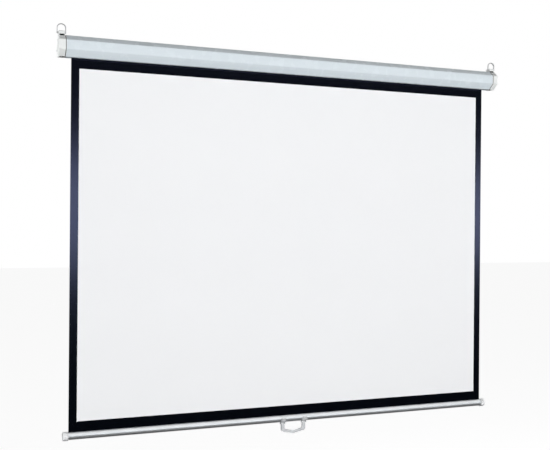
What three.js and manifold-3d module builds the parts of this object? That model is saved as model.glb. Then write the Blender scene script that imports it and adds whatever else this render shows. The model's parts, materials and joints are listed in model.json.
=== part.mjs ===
// Pull-down projector screen: a folded steel casing with a sprung roller, a fabric with
// black borders, a tube along its bottom edge and a swinging pull handle.
// Millimetres, +Z up. +X runs along the casing and the viewer stands on the -Y side.
// The origin is the middle of the casing's flat back, which lies against the wall.

import * as THREE from 'three';
import { mergeVertices } from 'three/addons/utils/BufferGeometryUtils.js';
import Module from 'manifold-3d';

const wasm = await Module();
wasm.setup();

// General clearances and finenesses
const gap = 0.3;               // between pieces that touch
const overrun = 1;             // of a cutting tool past what it cuts
const weldDistance = 0.0005;
const tubeSides = 32;
const pinSides = 16;
const cornerSteps = 4;
const archSteps = 13;          // odd, so that a flat facet tops the arch

// Viewing area (4:3, 84 inches across) and its black borders
const whiteWidth = 1700;
const whiteHeight = 1275;
const sideBorder = 29.5;
const topBorder = 75;          // from the roller's axis to the white area
const bottomBorder = 37.5;     // from the white area to the bottom tube
const sheetThickness = 0.5;
const coatThickness = 0.25;

// Casing: folded sheet steel with a slot below for the fabric
const casingDepth = 76;
const frontFlat = 34;
const upperHeight = 19.5;      // chamfers above and below the front
const upperDepth = 23;
const lowerHeight = 22.5;
const lowerDepth = 26.5;
const upperBackLeg = 19.5;     // 45 degree chamfers at the back
const lowerBackLeg = 19.5;
const casingWall = 1;
const slotAhead = 8;           // slot edge in front of the fabric's middle
const slotBehind = 3.5;
const slotSetback = 3;         // of the slot from the rear chamfer
const lipHeight = 5;           // of the hems turned up along the slot

// End caps: plastic mouldings that plug into the casing
const capLength = 26;
const capEndWall = 3;
const plugLength = 10;
const plugLead = 1;            // tapered start of the plug
const plugWall = 2.5;
const rimWidth = 0.7;          // what the casing's edge butts against
const rimInset = 0.4;
const grooveWidth = 2.4;       // shadow groove beside the casing
const grooveInset = 2.7;
const capEdge = 2;             // chamfer round the outer end
const underOpeningMargin = 1.3; // opening in the cap's underside, from groove and end wall
const underOpeningSetback = 1.5; // behind the lower front fold
const underOpeningWidth = 26;
const footOpeningMargin = 1.5; // opening at the foot of the hanger block, from the groove
const footOpeningReach = 3;    // forwards past the upper front fold
const footOpeningHeight = 5;   // up the front of the block

// Hinge block on top of each cap, and the steel loop that turns in it
const blockDepth = 27.5;
const blockHeight = 16.5;      // above the casing's top
const blockEdge = 2;
const blockWall = 4;
const loopSideRoom = 2.2;      // between the block and each leg of the loop
const loopStrip = 3;           // thickness of the bent strip
const loopStripDepth = 6;
const loopRise = 34.5;         // top of the loop above its hinge
const loopPivotRise = 9;       // hinge above the casing's top
const loopPivotInset = 7;      // hinge behind the front of the block
const loopPinRadius = 2.5;
const loopPinGrip = 5;         // length of the turned-in end inside the block

// Bracket plates inside the ends, and the long screws that hold cap and plate together
const plateThickness = 2;
const plateInset = 1.8;
const bossRadius = 4.2;
const screwRadius = 1.75;
const screwHeadRadius = 3.6;
const screwHeadHeight = 2.2;
const screwRecessWidth = 1;
const screwRecessDepth = 1;
const screwTipLength = 1.7;    // past the plate
const screwAcross = 20;        // from the middle of the casing's depth, each way
const screwRise = 18;          // front screw above the middle
const screwDrop = 16;          // rear screw below it

// Roller
const rollerOverhang = 3.5;    // of its tube past the fabric, each end
const endRoom = 1;             // between the pawl pins and the bracket plate
const rollerRadius = 16;
const rollerWall = 1;
const wrapThickness = 0.7;
const flangeThickness = 2;
const plugBarrelLength = 24;

// Spindle, spring and the plug that takes the spring's far end
const spindleRadius = 4;
const tongueThickness = 3.2;
const tongueLength = 7;
const springRadius = 9.4;
const springWireRadius = 1.1;
const springTurns = 24;
const springPitch = 5;
const springSteps = 8;
const springSides = 5;
const anchorLength = 15;
const bearingEndLength = 12;   // spindle's far end inside the anchor plug

// Ratchet on the spindle, and the two pawls on the roller's flange
const ratchetRadius = 7.5;
const ratchetThickness = 2;
const notchCount = 4;
const notchWidth = 4;
const notchFloor = 5.3;
const pawlPivotRadius = 12.2;
const pawlReach = 9.6;
const pawlLean = 60;           // degrees between the pawl and the line to the axis
const pawlDrop = 12;           // degrees that a pawl turns into its notch
const pawlWidth = 2.6;
const pawlEyeRadius = 2.6;
const nibWidth = 1.8;
const nibClearance = 0.5;
const pawlPinRadius = 1.5;
const pawlPinSlack = 0.2;
const pawlPinHeadRadius = 2.4;
const pawlPinHeadHeight = 0.8;
const pawlPinGrip = 4;

// Idler end: a pin in the right plug turns in a bush in the right plate
const idlerPinRadius = 3;
const idlerPinGrip = 18;
const idlerPinReach = 3.5;     // past the plate
const bushWall = 1.8;
const bushSlack = 0.2;
const bushFlangeRadius = 7;
const bushFlangeThickness = 1.2;

// Bottom tube, the rod in the fabric's hem, and the end knobs
const barRadius = 13.5;
const barWall = 1.6;
const barSlotWidth = 4;
const barOverhang = 1;         // of the tube past the fabric, each end
const hemRodRadius = 4.5;
const hemRoom = 3;             // between the end of the hem and the knob's plug
const knobRadius = 16.5;
const knobLength = 19.5;
const knobEdge = 3;
const knobPlugLength = 12;
const knobGrooveWidth = 1.6;
const knobGrooveDepth = 0.8;
const knobGrooveSetback = 3;

// Pull handle, its two clips on the bottom tube, hinge pins and rivets
const clipWidth = 20;
const clipThickness = 1.5;
const clipWrap = 112;          // degrees that the clip goes round from straight below
const knuckleRadius = 3.5;
const knuckleWidth = 3.3;
const hingePinRadius = 1.5;
const hingePinHeadRadius = 2.5;
const hingePinHeadLength = 0.9;
const rivetRadius = 1.6;
const rivetHeadRadius = 2.8;
const rivetHeadHeight = 1.3;
const rivetSpacing = 12;
const handleWidth = 105;
const handleBand = 15;
const handleThickness = 8;
const handleBevel = 1;
const handleSideEnd = 25;      // below the hinge axis, where the sides start to turn in
const handleCornerDrop = 33;
const handleCornerCut = 6.5;
const handleDrop = 42.7;       // lowest point of the shallow V
const handleBottomBand = 11;
const handleRounding = 5;

// Places that follow from the sizes above
const casingTop = frontFlat / 2 + upperHeight;
const casingBottom = -frontFlat / 2 - lowerHeight;
const fabricWidth = whiteWidth + 2 * sideBorder;
const rollerEnd = fabricWidth / 2 + rollerOverhang;
const flangeFace = gap + flangeThickness;
const pawlStart = flangeFace + gap;
const pawlPinHead = pawlStart + ratchetThickness + gap;
const plateInner = rollerEnd + pawlPinHead + pawlPinHeadHeight + endRoom;
const casingEnd = plateInner + plateThickness + gap + plugLength;
const fabricInCasing = casingDepth / 2 - lowerBackLeg - slotSetback - slotBehind;
const wrapsRadius = rollerRadius + gap + wrapThickness;
const rollerInCasing = fabricInCasing - sheetThickness / 2 - gap - wrapsRadius;
const barTop = -topBorder - whiteHeight - bottomBorder;
const barAxis = barTop - barRadius;
const barEnd = fabricWidth / 2 + barOverhang;
const hemEnd = barEnd - knobPlugLength - hemRoom;
const clipCentre = (handleWidth - handleBand) / 2;
const hingeAxisDrop = barRadius + gap + clipThickness + knuckleRadius;

const screwPlaces = [[-screwAcross, screwRise], [screwAcross, -screwDrop]];

// Looks of the pieces
function finish(color, roughness, metalness) {
  return new THREE.MeshStandardMaterial({ color, roughness, metalness });
}
const whiteEnamel = finish(0xe4e9ec, 0.35, 0.1);
const whitePlastic = finish(0xe6eae8, 0.5, 0);
const zincSteel = finish(0xa7abad, 0.35, 0.9);
const springSteel = finish(0x5b5d60, 0.4, 0.9);
const nylon = finish(0xd9d6cc, 0.55, 0);
const blackCloth = finish(0x0b0e14, 0.8, 0);
const whiteCoat = finish(0xf0f1f2, 0.9, 0);
const satinAluminium = finish(0xd2d6d8, 0.35, 0.6);
const greyPlastic = finish(0xbdc0c4, 0.45, 0.1);

// Geometry helpers

const unitX = new THREE.Vector3(1, 0, 0);
const unitY = new THREE.Vector3(0, 1, 0);
const unitZ = new THREE.Vector3(0, 0, 1);

// Shared corners only, and no triangle that has collapsed onto an axis
function welded(geometry) {
  const bare = geometry.clone();
  bare.deleteAttribute('normal');
  bare.deleteAttribute('uv');
  const merged = mergeVertices(bare, weldDistance);
  const corners = merged.index.array;
  const kept = [];
  for (let i = 0; i < corners.length; i += 3) {
    const [a, b, c] = corners.subarray(i, i + 3);
    if (a !== b && b !== c && c !== a) kept.push(a, b, c);
  }
  merged.setIndex(kept);
  return merged;
}

// The same body with its faces turned out, whichever way round it was made or mirrored
function facingOut(geometry) {
  const body = welded(geometry);
  const corners = body.index.array;
  const [a, b, c] = [new THREE.Vector3(), new THREE.Vector3(), new THREE.Vector3()];
  let volume = 0;
  for (let i = 0; i < corners.length; i += 3) {
    a.fromBufferAttribute(body.attributes.position, corners[i]);
    b.fromBufferAttribute(body.attributes.position, corners[i + 1]);
    c.fromBufferAttribute(body.attributes.position, corners[i + 2]);
    volume += a.dot(b.cross(c));
  }
  if (volume < 0) {
    const flipped = [];
    for (let i = 0; i < corners.length; i += 3) {
      flipped.push(corners[i], corners[i + 2], corners[i + 1]);
    }
    body.setIndex(flipped);
  }
  return body;
}

function toSolid(geometry) {
  const body = facingOut(geometry);
  const mesh = new wasm.Mesh({
    numProp: 3,
    vertProperties: Float32Array.from(body.attributes.position.array),
    triVerts: Uint32Array.from(body.index.array),
  });
  return new wasm.Manifold(mesh);
}

function fromSolid(solid) {
  const mesh = solid.getMesh();
  const geometry = new THREE.BufferGeometry();
  geometry.setAttribute('position', new THREE.BufferAttribute(mesh.vertProperties, 3));
  geometry.setIndex(new THREE.BufferAttribute(mesh.triVerts, 1));
  return geometry;
}

function joined(first, ...others) {
  let solid = toSolid(first);
  for (const other of others) solid = solid.add(toSolid(other));
  return fromSolid(solid);
}

function cutBy(geometry, ...tools) {
  let solid = toSolid(geometry);
  for (const tool of tools) solid = solid.subtract(toSolid(tool));
  return fromSolid(solid);
}

function boxBetween([x0, y0, z0], [x1, y1, z1]) {
  const box = new THREE.BoxGeometry(x1 - x0, y1 - y0, z1 - z0);
  box.translate((x0 + x1) / 2, (y0 + y1) / 2, (z0 + z1) / 2);
  return box;
}

// An outline in the YZ plane, carried along X
function extrudedAlongX(shape, start, end) {
  const options = { depth: end - start, bevelEnabled: false, curveSegments: cornerSteps };
  const geometry = new THREE.ExtrudeGeometry(shape, options);
  geometry.applyMatrix4(new THREE.Matrix4().makeBasis(unitY, unitZ, unitX));
  geometry.translate(start, 0, 0);
  return geometry;
}

// An outline in the XZ plane, carried along Y on both sides of it, with its edges bevelled
function extrudedAlongY(shape, thickness, bevel = 0) {
  const geometry = new THREE.ExtrudeGeometry(shape, {
    depth: thickness - 2 * bevel,
    bevelEnabled: bevel > 0,
    bevelThickness: bevel,
    bevelSize: bevel,
    bevelOffset: -bevel,
    bevelSegments: 1,
    curveSegments: cornerSteps,
  });
  geometry.translate(0, 0, bevel - thickness / 2);
  geometry.applyMatrix4(new THREE.Matrix4().makeBasis(unitX, unitZ, unitY.clone().negate()));
  return geometry;
}

function shapeOf(points) {
  return new THREE.Shape(points.map(([across, up]) => new THREE.Vector2(across, up)));
}

// Points along an arc, both ends included, angles counted from +across towards up
function arc([across, up], radius, from, to, steps) {
  return Array.from({ length: steps + 1 }, (unused, i) => {
    const angle = from + ((to - from) * i) / steps;
    return [across + radius * Math.cos(angle), up + radius * Math.sin(angle)];
  });
}

// A profile of [place along X, radius] pairs, turned round the X axis
function turned(profile, sides) {
  const points = profile.map(([along, radius]) => new THREE.Vector2(radius, along));
  const geometry = new THREE.LatheGeometry(points, sides);
  geometry.rotateZ(-Math.PI / 2);
  return geometry;
}

function rod(start, end, radius, sides) {
  return turned([[start, 0], [start, radius], [end, radius], [end, 0]], sides);
}

function pipe(start, end, outer, inner, sides) {
  const corners = [[start, inner], [start, outer], [end, outer], [end, inner], [start, inner]];
  return turned(corners, sides);
}

// A body through a row of outlines in YZ, all with as many points, at rising places along X
function stacked(sections) {
  const count = sections[0].outline.length;
  const positions = [];
  for (const { place, outline } of sections) {
    for (const [y, z] of outline) positions.push(place, y, z);
  }
  const faces = [];
  for (let s = 0; s + 1 < sections.length; s += 1) {
    for (let i = 0; i < count; i += 1) {
      const [a, b] = [s * count + i, s * count + ((i + 1) % count)];
      faces.push(a, b, b + count, a, b + count, a + count);
    }
  }
  const last = (sections.length - 1) * count;
  for (let i = 1; i + 1 < count; i += 1) {
    faces.push(0, i + 1, i, last, last + i, last + i + 1);
  }
  const geometry = new THREE.BufferGeometry();
  geometry.setAttribute('position', new THREE.Float32BufferAttribute(positions, 3));
  geometry.setIndex(faces);
  return geometry;
}

// A piece drawn for the right-hand end, or its mirror image for the left
function handed(geometry, side) {
  const copy = geometry.clone();
  copy.scale(side, 1, 1);
  return facingOut(copy);
}

const root = new THREE.Group();

function groupAt(parent, x, y, z) {
  const group = new THREE.Group();
  group.position.set(x, y, z);
  parent.add(group);
  return group;
}

function addPiece(parent, name, geometry, material) {
  const piece = new THREE.Mesh(facingOut(geometry), material);
  piece.name = name;
  piece.geometry.computeVertexNormals();
  parent.add(piece);
  return piece;
}

// Depth and height of a chamfer once it and the two faces beside it have moved in
function chamferMovedIn(depth, height, inset) {
  const slope = Math.hypot(depth, height);
  return [
    depth - inset + (inset * height) / (slope + depth),
    height - inset + (inset * depth) / (slope + height),
  ];
}

// Casing section, seen from its end, with every face moved in by one distance
function casingOutline(inset) {
  const [front, back] = [inset - casingDepth / 2, casingDepth / 2 - inset];
  const [top, bottom] = [casingTop - inset, casingBottom + inset];
  const [upperAcross, upperDown] = chamferMovedIn(upperDepth, upperHeight, inset);
  const [lowerAcross, lowerUp] = chamferMovedIn(lowerDepth, lowerHeight, inset);
  const [upperBack] = chamferMovedIn(upperBackLeg, upperBackLeg, inset);
  const [lowerBack] = chamferMovedIn(lowerBackLeg, lowerBackLeg, inset);
  return [
    [front + lowerAcross, bottom],
    [front, bottom + lowerUp],
    [front, top - upperDown],
    [front + upperAcross, top],
    [back - upperBack, top],
    [back, top - upperBack],
    [back, bottom + lowerBack],
    [back - lowerBack, bottom],
  ];
}

const slotFront = fabricInCasing - slotAhead;
const slotBack = fabricInCasing + slotBehind;
const lipTop = casingBottom + lipHeight;

function casingShell() {
  const floor = casingBottom + casingWall;
  const outline = [
    [slotFront, casingBottom],
    ...casingOutline(0),
    [slotBack, casingBottom],
    [slotBack, lipTop],
    [slotBack + casingWall, lipTop],
    [slotBack + casingWall, floor],
    ...casingOutline(casingWall).reverse(),
    [slotFront - casingWall, floor],
    [slotFront - casingWall, lipTop],
    [slotFront, lipTop],
  ];
  return extrudedAlongX(shapeOf(outline), -casingEnd, casingEnd);
}

// Room that pieces inside the casing leave for the two lips along its slot
function lipRoom(start, end) {
  return boxBetween(
    [start, slotFront - casingWall - gap, casingBottom - overrun],
    [end, slotBack + casingWall + gap, lipTop + gap],
  );
}

// End cap, drawn from the casing's end (x = 0) outwards
const blockBack = casingDepth / 2 - upperBackLeg;
const blockFront = blockBack - blockDepth;
const blockTop = casingTop + blockHeight;
const blockInner = rimWidth + gap + grooveWidth;
const loopPivot = [blockFront + loopPivotInset, casingTop + loopPivotRise];

function hingeBlock() {
  const outline = (inset) => [
    [blockFront + inset, casingTop - capEndWall],
    [blockFront + inset, blockTop - blockEdge - inset],
    [blockFront + blockEdge + inset, blockTop - inset],
    [blockBack - blockEdge - inset, blockTop - inset],
    [blockBack - inset, blockTop - blockEdge - inset],
    [blockBack - inset, casingTop - capEndWall],
  ];
  return stacked([
    { place: blockInner, outline: outline(blockEdge / 2) },
    { place: blockInner + blockEdge / 2, outline: outline(0) },
    { place: capLength - blockEdge / 2, outline: outline(0) },
    { place: capLength, outline: outline(blockEdge / 2) },
  ]);
}

function endCap() {
  const plugInset = casingWall + gap;
  const grooveStart = gap + rimWidth;
  const body = stacked([
    { place: -plugLength, outline: casingOutline(plugInset + plugLead) },
    { place: plugLead - plugLength, outline: casingOutline(plugInset) },
    { place: gap, outline: casingOutline(plugInset) },
    { place: gap, outline: casingOutline(rimInset) },
    { place: grooveStart, outline: casingOutline(rimInset) },
    { place: grooveStart, outline: casingOutline(grooveInset) },
    { place: blockInner, outline: casingOutline(grooveInset) },
    { place: blockInner, outline: casingOutline(0) },
    { place: capLength - capEdge, outline: casingOutline(0) },
    { place: capLength, outline: casingOutline(capEdge) },
  ]);
  const cavity = stacked([
    { place: -plugLength - overrun, outline: casingOutline(plugInset + plugWall) },
    { place: capLength - capEndWall, outline: casingOutline(plugInset + plugWall) },
  ]);
  const blockPocket = boxBetween(
    [blockInner + blockWall, blockFront + blockWall, casingTop - plugInset - plugWall - overrun],
    [capLength - blockWall, blockBack - blockWall, blockTop - blockWall],
  );
  const pinBore = rod(0, capLength + overrun, loopPinRadius + gap, pinSides);
  pinBore.translate(0, ...loopPivot);
  const through = plugInset + plugWall + overrun;
  const underFront = lowerDepth - casingDepth / 2 + underOpeningSetback;
  const underOpening = boxBetween(
    [blockInner + underOpeningMargin, underFront, casingBottom - overrun],
    [capLength - capEndWall - underOpeningMargin, underFront + underOpeningWidth, casingBottom + through],
  );
  const footOpening = boxBetween(
    [blockInner + footOpeningMargin, upperDepth - casingDepth / 2 - footOpeningReach, casingTop - through],
    [capLength - blockWall, blockFront + blockWall, casingTop + footOpeningHeight],
  );
  const hollow = cutBy(joined(body, hingeBlock()), cavity, blockPocket, underOpening, footOpening,
    lipRoom(-plugLength - overrun, gap));
  const bosses = screwPlaces.map(([y, z]) => {
    const boss = rod(-plugLength, capLength - capEndWall + overrun, bossRadius, pinSides);
    return boss.translate(0, y, z);
  });
  const screwBores = screwPlaces.map(([y, z]) => {
    const bore = rod(-plugLength - overrun, capLength + overrun, screwRadius + gap, pinSides);
    return bore.translate(0, y, z);
  });
  return cutBy(joined(hollow, ...bosses), ...screwBores, pinBore);
}

function capScrew() {
  const seat = capLength + gap;
  const top = seat + screwHeadHeight;
  const tip = -plugLength - gap - plateThickness - screwTipLength;
  const blank = turned([
    [tip, 0],
    [tip, screwRadius / 2],
    [tip + screwTipLength, screwRadius],
    [seat, screwRadius],
    [seat, screwHeadRadius],
    [seat + screwHeadHeight / 2, screwHeadRadius],
    [top, screwHeadRadius / 2],
    [top, 0],
  ], pinSides);
  const [half, long] = [screwRecessWidth / 2, screwHeadRadius / 2];
  const floor = top - screwRecessDepth;
  const upright = boxBetween([floor, -half, -long], [top + overrun, half, long]);
  const level = boxBetween([floor, -long, -half], [top + overrun, long, half]);
  return cutBy(blank, upright, level);
}

// Steel strip bent to a loop, with its ends turned in as hinge pins; the hinge axis is z = 0
function hangerLoop() {
  const blockHalf = (capLength - blockInner) / 2;
  const radius = blockHalf + loopSideRoom + loopStrip;
  const archCentre = loopRise - radius;
  const [outside, inside, foot] = [radius, radius - loopStrip, loopStrip / 2];
  const strip = extrudedAlongY(shapeOf([
    ...arc([0, archCentre], outside, 0, Math.PI, archSteps),
    ...arc([foot - outside, 0], foot, Math.PI, 2 * Math.PI, cornerSteps),
    ...arc([0, archCentre], inside, Math.PI, 0, archSteps),
    ...arc([outside - foot, 0], foot, Math.PI, 2 * Math.PI, cornerSteps),
  ]), loopStripDepth);
  const eyes = [-1, 1].map((end) => {
    const tip = end * (blockHalf - loopPinGrip);
    const [low, high] = [end * radius, tip].sort((a, b) => a - b);
    return rod(low, high, loopPinRadius, pinSides);
  });
  return joined(strip, ...eyes);
}

// Bracket plate inside one end, with its own opening for the roller's end
function bracketPlate(opening) {
  const blank = stacked([
    { place: plateInner - casingEnd, outline: casingOutline(plateInset) },
    { place: plateInner - casingEnd + plateThickness, outline: casingOutline(plateInset) },
  ]);
  const bores = screwPlaces.map(([y, z]) => {
    const bore = rod(-plugLength - plateThickness - overrun, 0, screwRadius + gap, pinSides);
    return bore.translate(0, y, z);
  });
  return cutBy(blank, ...bores, opening, lipRoom(-plugLength - plateThickness - overrun, 0));
}

function tongueSlot() {
  const half = tongueThickness / 2 + gap;
  return boxBetween(
    [plateInner - casingEnd - overrun, rollerInCasing - half, -spindleRadius - gap],
    [0, rollerInCasing + half, casingTop + overrun],
  );
}

const bushRadius = idlerPinRadius + bushSlack + bushWall;

function bushHole() {
  const hole = rod(plateInner - casingEnd - overrun, 0, bushRadius + gap, tubeSides);
  return hole.translate(0, rollerInCasing, 0);
}

// Bush for the idler pin, drawn outwards from the plate's inner face (x = 0)
function idlerBush() {
  const inner = idlerPinRadius + bushSlack;
  return turned([
    [-gap - bushFlangeThickness, inner],
    [-gap - bushFlangeThickness, bushFlangeRadius],
    [-gap, bushFlangeRadius],
    [-gap, bushRadius],
    [plateThickness + gap, bushRadius],
    [plateThickness + gap, inner],
    [-gap - bushFlangeThickness, inner],
  ], tubeSides);
}

// Roller ends, drawn outwards from the tube's end (x = 0)
const plugRadius = rollerRadius - rollerWall - gap;

function rollerPlug(bore) {
  return turned([
    [-plugBarrelLength, bore],
    [-plugBarrelLength, plugRadius],
    [gap, plugRadius],
    [gap, rollerRadius],
    [flangeFace, rollerRadius],
    [flangeFace, bore],
    [-plugBarrelLength, bore],
  ], tubeSides);
}

// Where the pawls sit, and their shape in the plane of the ratchet
const lean = THREE.MathUtils.degToRad(pawlLean);
const drop = THREE.MathUtils.degToRad(pawlDrop);
const nibOffset = pawlReach - pawlPivotRadius * Math.cos(lean);
const nibReach = Math.sqrt((ratchetRadius + nibClearance) ** 2 - (nibOffset - nibWidth) ** 2);
const nibLength = pawlPivotRadius * Math.sin(lean) - nibReach;
const pawlHeading = lean - Math.PI / 2;

function springEndPlug() {
  const bores = [1, -1].map((end) => {
    const bore = rod(flangeFace - pawlPinGrip - gap, flangeFace + overrun, pawlPinRadius + gap, pinSides);
    return bore.translate(0, 0, end * pawlPivotRadius);
  });
  return cutBy(rollerPlug(spindleRadius + gap), ...bores);
}

// A pawl lies along its own +Y with its pivot at the origin and its nib towards -Z
function pawl() {
  const half = pawlWidth / 2;
  const shape = shapeOf([
    [0, half],
    [pawlReach, half],
    [pawlReach, -nibLength],
    [pawlReach - nibWidth, -nibLength],
    [pawlReach - nibWidth, -half],
    [0, -half],
  ]);
  const bar = extrudedAlongX(shape, pawlStart, pawlStart + ratchetThickness);
  const eye = rod(pawlStart, pawlStart + ratchetThickness, pawlEyeRadius, pinSides);
  const bore = rod(pawlStart - overrun, pawlStart + ratchetThickness + overrun,
    pawlPinRadius + pawlPinSlack, pinSides);
  return cutBy(joined(bar, eye), bore);
}

function pawlPin() {
  return turned([
    [flangeFace - pawlPinGrip, 0],
    [flangeFace - pawlPinGrip, pawlPinRadius],
    [pawlPinHead, pawlPinRadius],
    [pawlPinHead, pawlPinHeadRadius],
    [pawlPinHead + pawlPinHeadHeight / 2, pawlPinHeadRadius],
    [pawlPinHead + pawlPinHeadHeight, pawlPinHeadRadius / 2],
    [pawlPinHead + pawlPinHeadHeight, 0],
  ], pinSides);
}

function ratchetDisc() {
  const blank = pipe(pawlStart, pawlStart + ratchetThickness, ratchetRadius, spindleRadius + gap, tubeSides);
  const middle = pawlReach - nibWidth / 2;
  const heading = pawlHeading - drop;
  const nibHeight = -(nibLength + pawlWidth / 2) / 2;
  const y = middle * Math.cos(heading) - nibHeight * Math.sin(heading);
  const z = pawlPivotRadius + middle * Math.sin(heading) + nibHeight * Math.cos(heading);
  const around = Math.atan2(z, y);
  const notches = Array.from({ length: notchCount }, (unused, i) => {
    const notch = boxBetween(
      [pawlStart - overrun, notchFloor, -notchWidth / 2],
      [pawlStart + ratchetThickness + overrun, ratchetRadius + overrun, notchWidth / 2],
    );
    return notch.rotateX(around + (i * 2 * Math.PI) / notchCount);
  });
  return cutBy(blank, ...notches);
}

// Fixed spindle, drawn outwards from the left end of the tube (x = 0), with the spring's seat
const seatRadius = springRadius * Math.cos(Math.PI / springSteps) - springWireRadius - gap;
const springLength = springTurns * springPitch;
const springStart = -plugBarrelLength - gap - springWireRadius;
const seatEnd = springStart - springLength - springWireRadius;
const anchorStart = seatEnd - gap;

function spindle() {
  const shoulder = plateInner - rollerEnd - gap;
  const end = shoulder + tongueLength;
  const round = turned([
    [anchorStart - bearingEndLength, 0],
    [anchorStart - bearingEndLength, spindleRadius],
    [seatEnd, spindleRadius],
    [seatEnd, seatRadius],
    [-plugBarrelLength - gap, seatRadius],
    [-plugBarrelLength - gap, spindleRadius],
    [end, spindleRadius],
    [end, 0],
  ], tubeSides);
  const flat = boxBetween(
    [shoulder, tongueThickness / 2, -spindleRadius - overrun],
    [end + overrun, spindleRadius + overrun, spindleRadius + overrun],
  );
  return cutBy(round, flat, flat.clone().rotateX(Math.PI));
}

// Helical spring as one unbroken wire, its least gap between turns printed as it is made
function torsionSpring() {
  const steps = springTurns * springSteps;
  const ring = [];
  const positions = [];
  for (let i = 0; i <= steps; i += 1) {
    const turn = (i * 2 * Math.PI) / springSteps;
    const along = springStart - (i / steps) * springLength;
    const out = new THREE.Vector3(0, Math.cos(turn), Math.sin(turn));
    const centre = out.clone().multiplyScalar(springRadius).setX(along);
    const travel = new THREE.Vector3(-springPitch, 0, 0).addScaledVector(
      new THREE.Vector3(0, -Math.sin(turn), Math.cos(turn)), 2 * Math.PI * springRadius);
    const across = travel.normalize().cross(out);
    ring.push(centre);
    for (let side = 0; side < springSides; side += 1) {
      const angle = (side * 2 * Math.PI) / springSides;
      const corner = centre.clone()
        .addScaledVector(out, springWireRadius * Math.cos(angle))
        .addScaledVector(across, springWireRadius * Math.sin(angle));
      positions.push(corner.x, corner.y, corner.z);
    }
  }
  const faces = [];
  for (let i = 0; i < steps; i += 1) {
    for (let side = 0; side < springSides; side += 1) {
      const next = (side + 1) % springSides;
      const [a, b] = [i * springSides + side, i * springSides + next];
      faces.push(a, b, b + springSides, a, b + springSides, a + springSides);
    }
  }
  const last = steps * springSides;
  for (let side = 1; side + 1 < springSides; side += 1) {
    faces.push(0, side + 1, side, last, last + side, last + side + 1);
  }
  let least = Infinity;
  for (let i = 0; i < ring.length; i += 1) {
    for (let j = i + springSteps / 2; j < ring.length; j += 1) {
      least = Math.min(least, ring[i].distanceTo(ring[j]) - 2 * springWireRadius);
    }
  }
  console.log(`least gap between the spring's turns: ${least.toFixed(2)} mm`);
  const geometry = new THREE.BufferGeometry();
  geometry.setAttribute('position', new THREE.Float32BufferAttribute(positions, 3));
  geometry.setIndex(faces);
  return geometry;
}

// Outline of a tube cut open by a slot at the top
function slottedOutline(outer, inner, slot) {
  const points = [];
  for (const [radius, forward] of [[outer, true], [inner, false]]) {
    const edge = Math.asin(slot / 2 / radius);
    for (let i = 0; i <= tubeSides; i += 1) {
      const part = (forward ? i : tubeSides - i) / tubeSides;
      const angle = edge + part * (2 * Math.PI - 2 * edge);
      points.push([radius * Math.sin(angle), radius * Math.cos(angle)]);
    }
  }
  return points;
}

const rivetPlaces = [-1, 1].map((end) => (end * rivetSpacing) / 2);

// A cylinder pointing forwards (-Y) out of the bottom tube, for rivets and their holes
function pointingForward(geometry) {
  return geometry.rotateZ(-Math.PI / 2);
}

function bottomTube() {
  const outline = slottedOutline(barRadius, barRadius - barWall, barSlotWidth);
  const blank = extrudedAlongX(shapeOf(outline), -barEnd, barEnd);
  const bores = [-1, 1].flatMap((side) => rivetPlaces.map((place) => {
    const bore = rod(barRadius - barWall - overrun, barRadius + overrun, rivetRadius + gap, pinSides);
    return pointingForward(bore).translate(side * clipCentre + place, 0, 0);
  }));
  return cutBy(blank, ...bores);
}

// The fabric's hem: a loop round the rod and a neck up through the tube's slot
const hemRadius = hemRodRadius + gap + sheetThickness;
const hemRise = barRadius - barWall - gap - hemRadius;
const neckTop = barRadius - sheetThickness;

function fabricHem() {
  const half = sheetThickness / 2;
  const edge = Math.asin(half / hemRadius);
  const points = [[half, neckTop - hemRise]];
  for (let i = 0; i <= tubeSides; i += 1) {
    const angle = edge + (i / tubeSides) * (2 * Math.PI - 2 * edge);
    points.push([hemRadius * Math.sin(angle), hemRadius * Math.cos(angle)]);
  }
  points.push([-half, neckTop - hemRise]);
  const shape = shapeOf(points);
  const bore = new THREE.Path();
  bore.absarc(0, 0, hemRadius - sheetThickness, 0, 2 * Math.PI);
  shape.holes.push(bore);
  const options = { depth: 2 * hemEnd, bevelEnabled: false, curveSegments: tubeSides / 2 };
  const geometry = new THREE.ExtrudeGeometry(shape, options);
  geometry.applyMatrix4(new THREE.Matrix4().makeBasis(unitY, unitZ, unitX));
  return geometry.translate(-hemEnd, 0, hemRise);
}

// End knob, drawn outwards from the tube's end (x = 0)
function barKnob() {
  const plug = barRadius - barWall - gap;
  const waist = knobRadius - knobGrooveDepth;
  const grooveStart = gap + knobGrooveSetback;
  const grooveEnd = grooveStart + knobGrooveWidth;
  const end = gap + knobLength;
  const edge = Array.from({ length: cornerSteps + 1 }, (unused, i) => {
    const angle = (i / cornerSteps) * (Math.PI / 2);
    return [end - knobEdge + knobEdge * Math.sin(angle), knobRadius - knobEdge + knobEdge * Math.cos(angle)];
  });
  return turned([
    [-knobPlugLength, 0],
    [-knobPlugLength, plug],
    [gap, plug],
    [gap, knobRadius],
    [grooveStart, knobRadius],
    [grooveStart, waist],
    [grooveEnd, waist],
    [grooveEnd, knobRadius],
    ...edge,
    [end, 0],
  ], tubeSides);
}

// Clip round the bottom tube with two knuckles below it; the tube's axis is the origin
const clipInner = barRadius + gap;
const knucklePlaces = [-1, 1].map((end) => end * (clipWidth - knuckleWidth) / 2);

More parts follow.
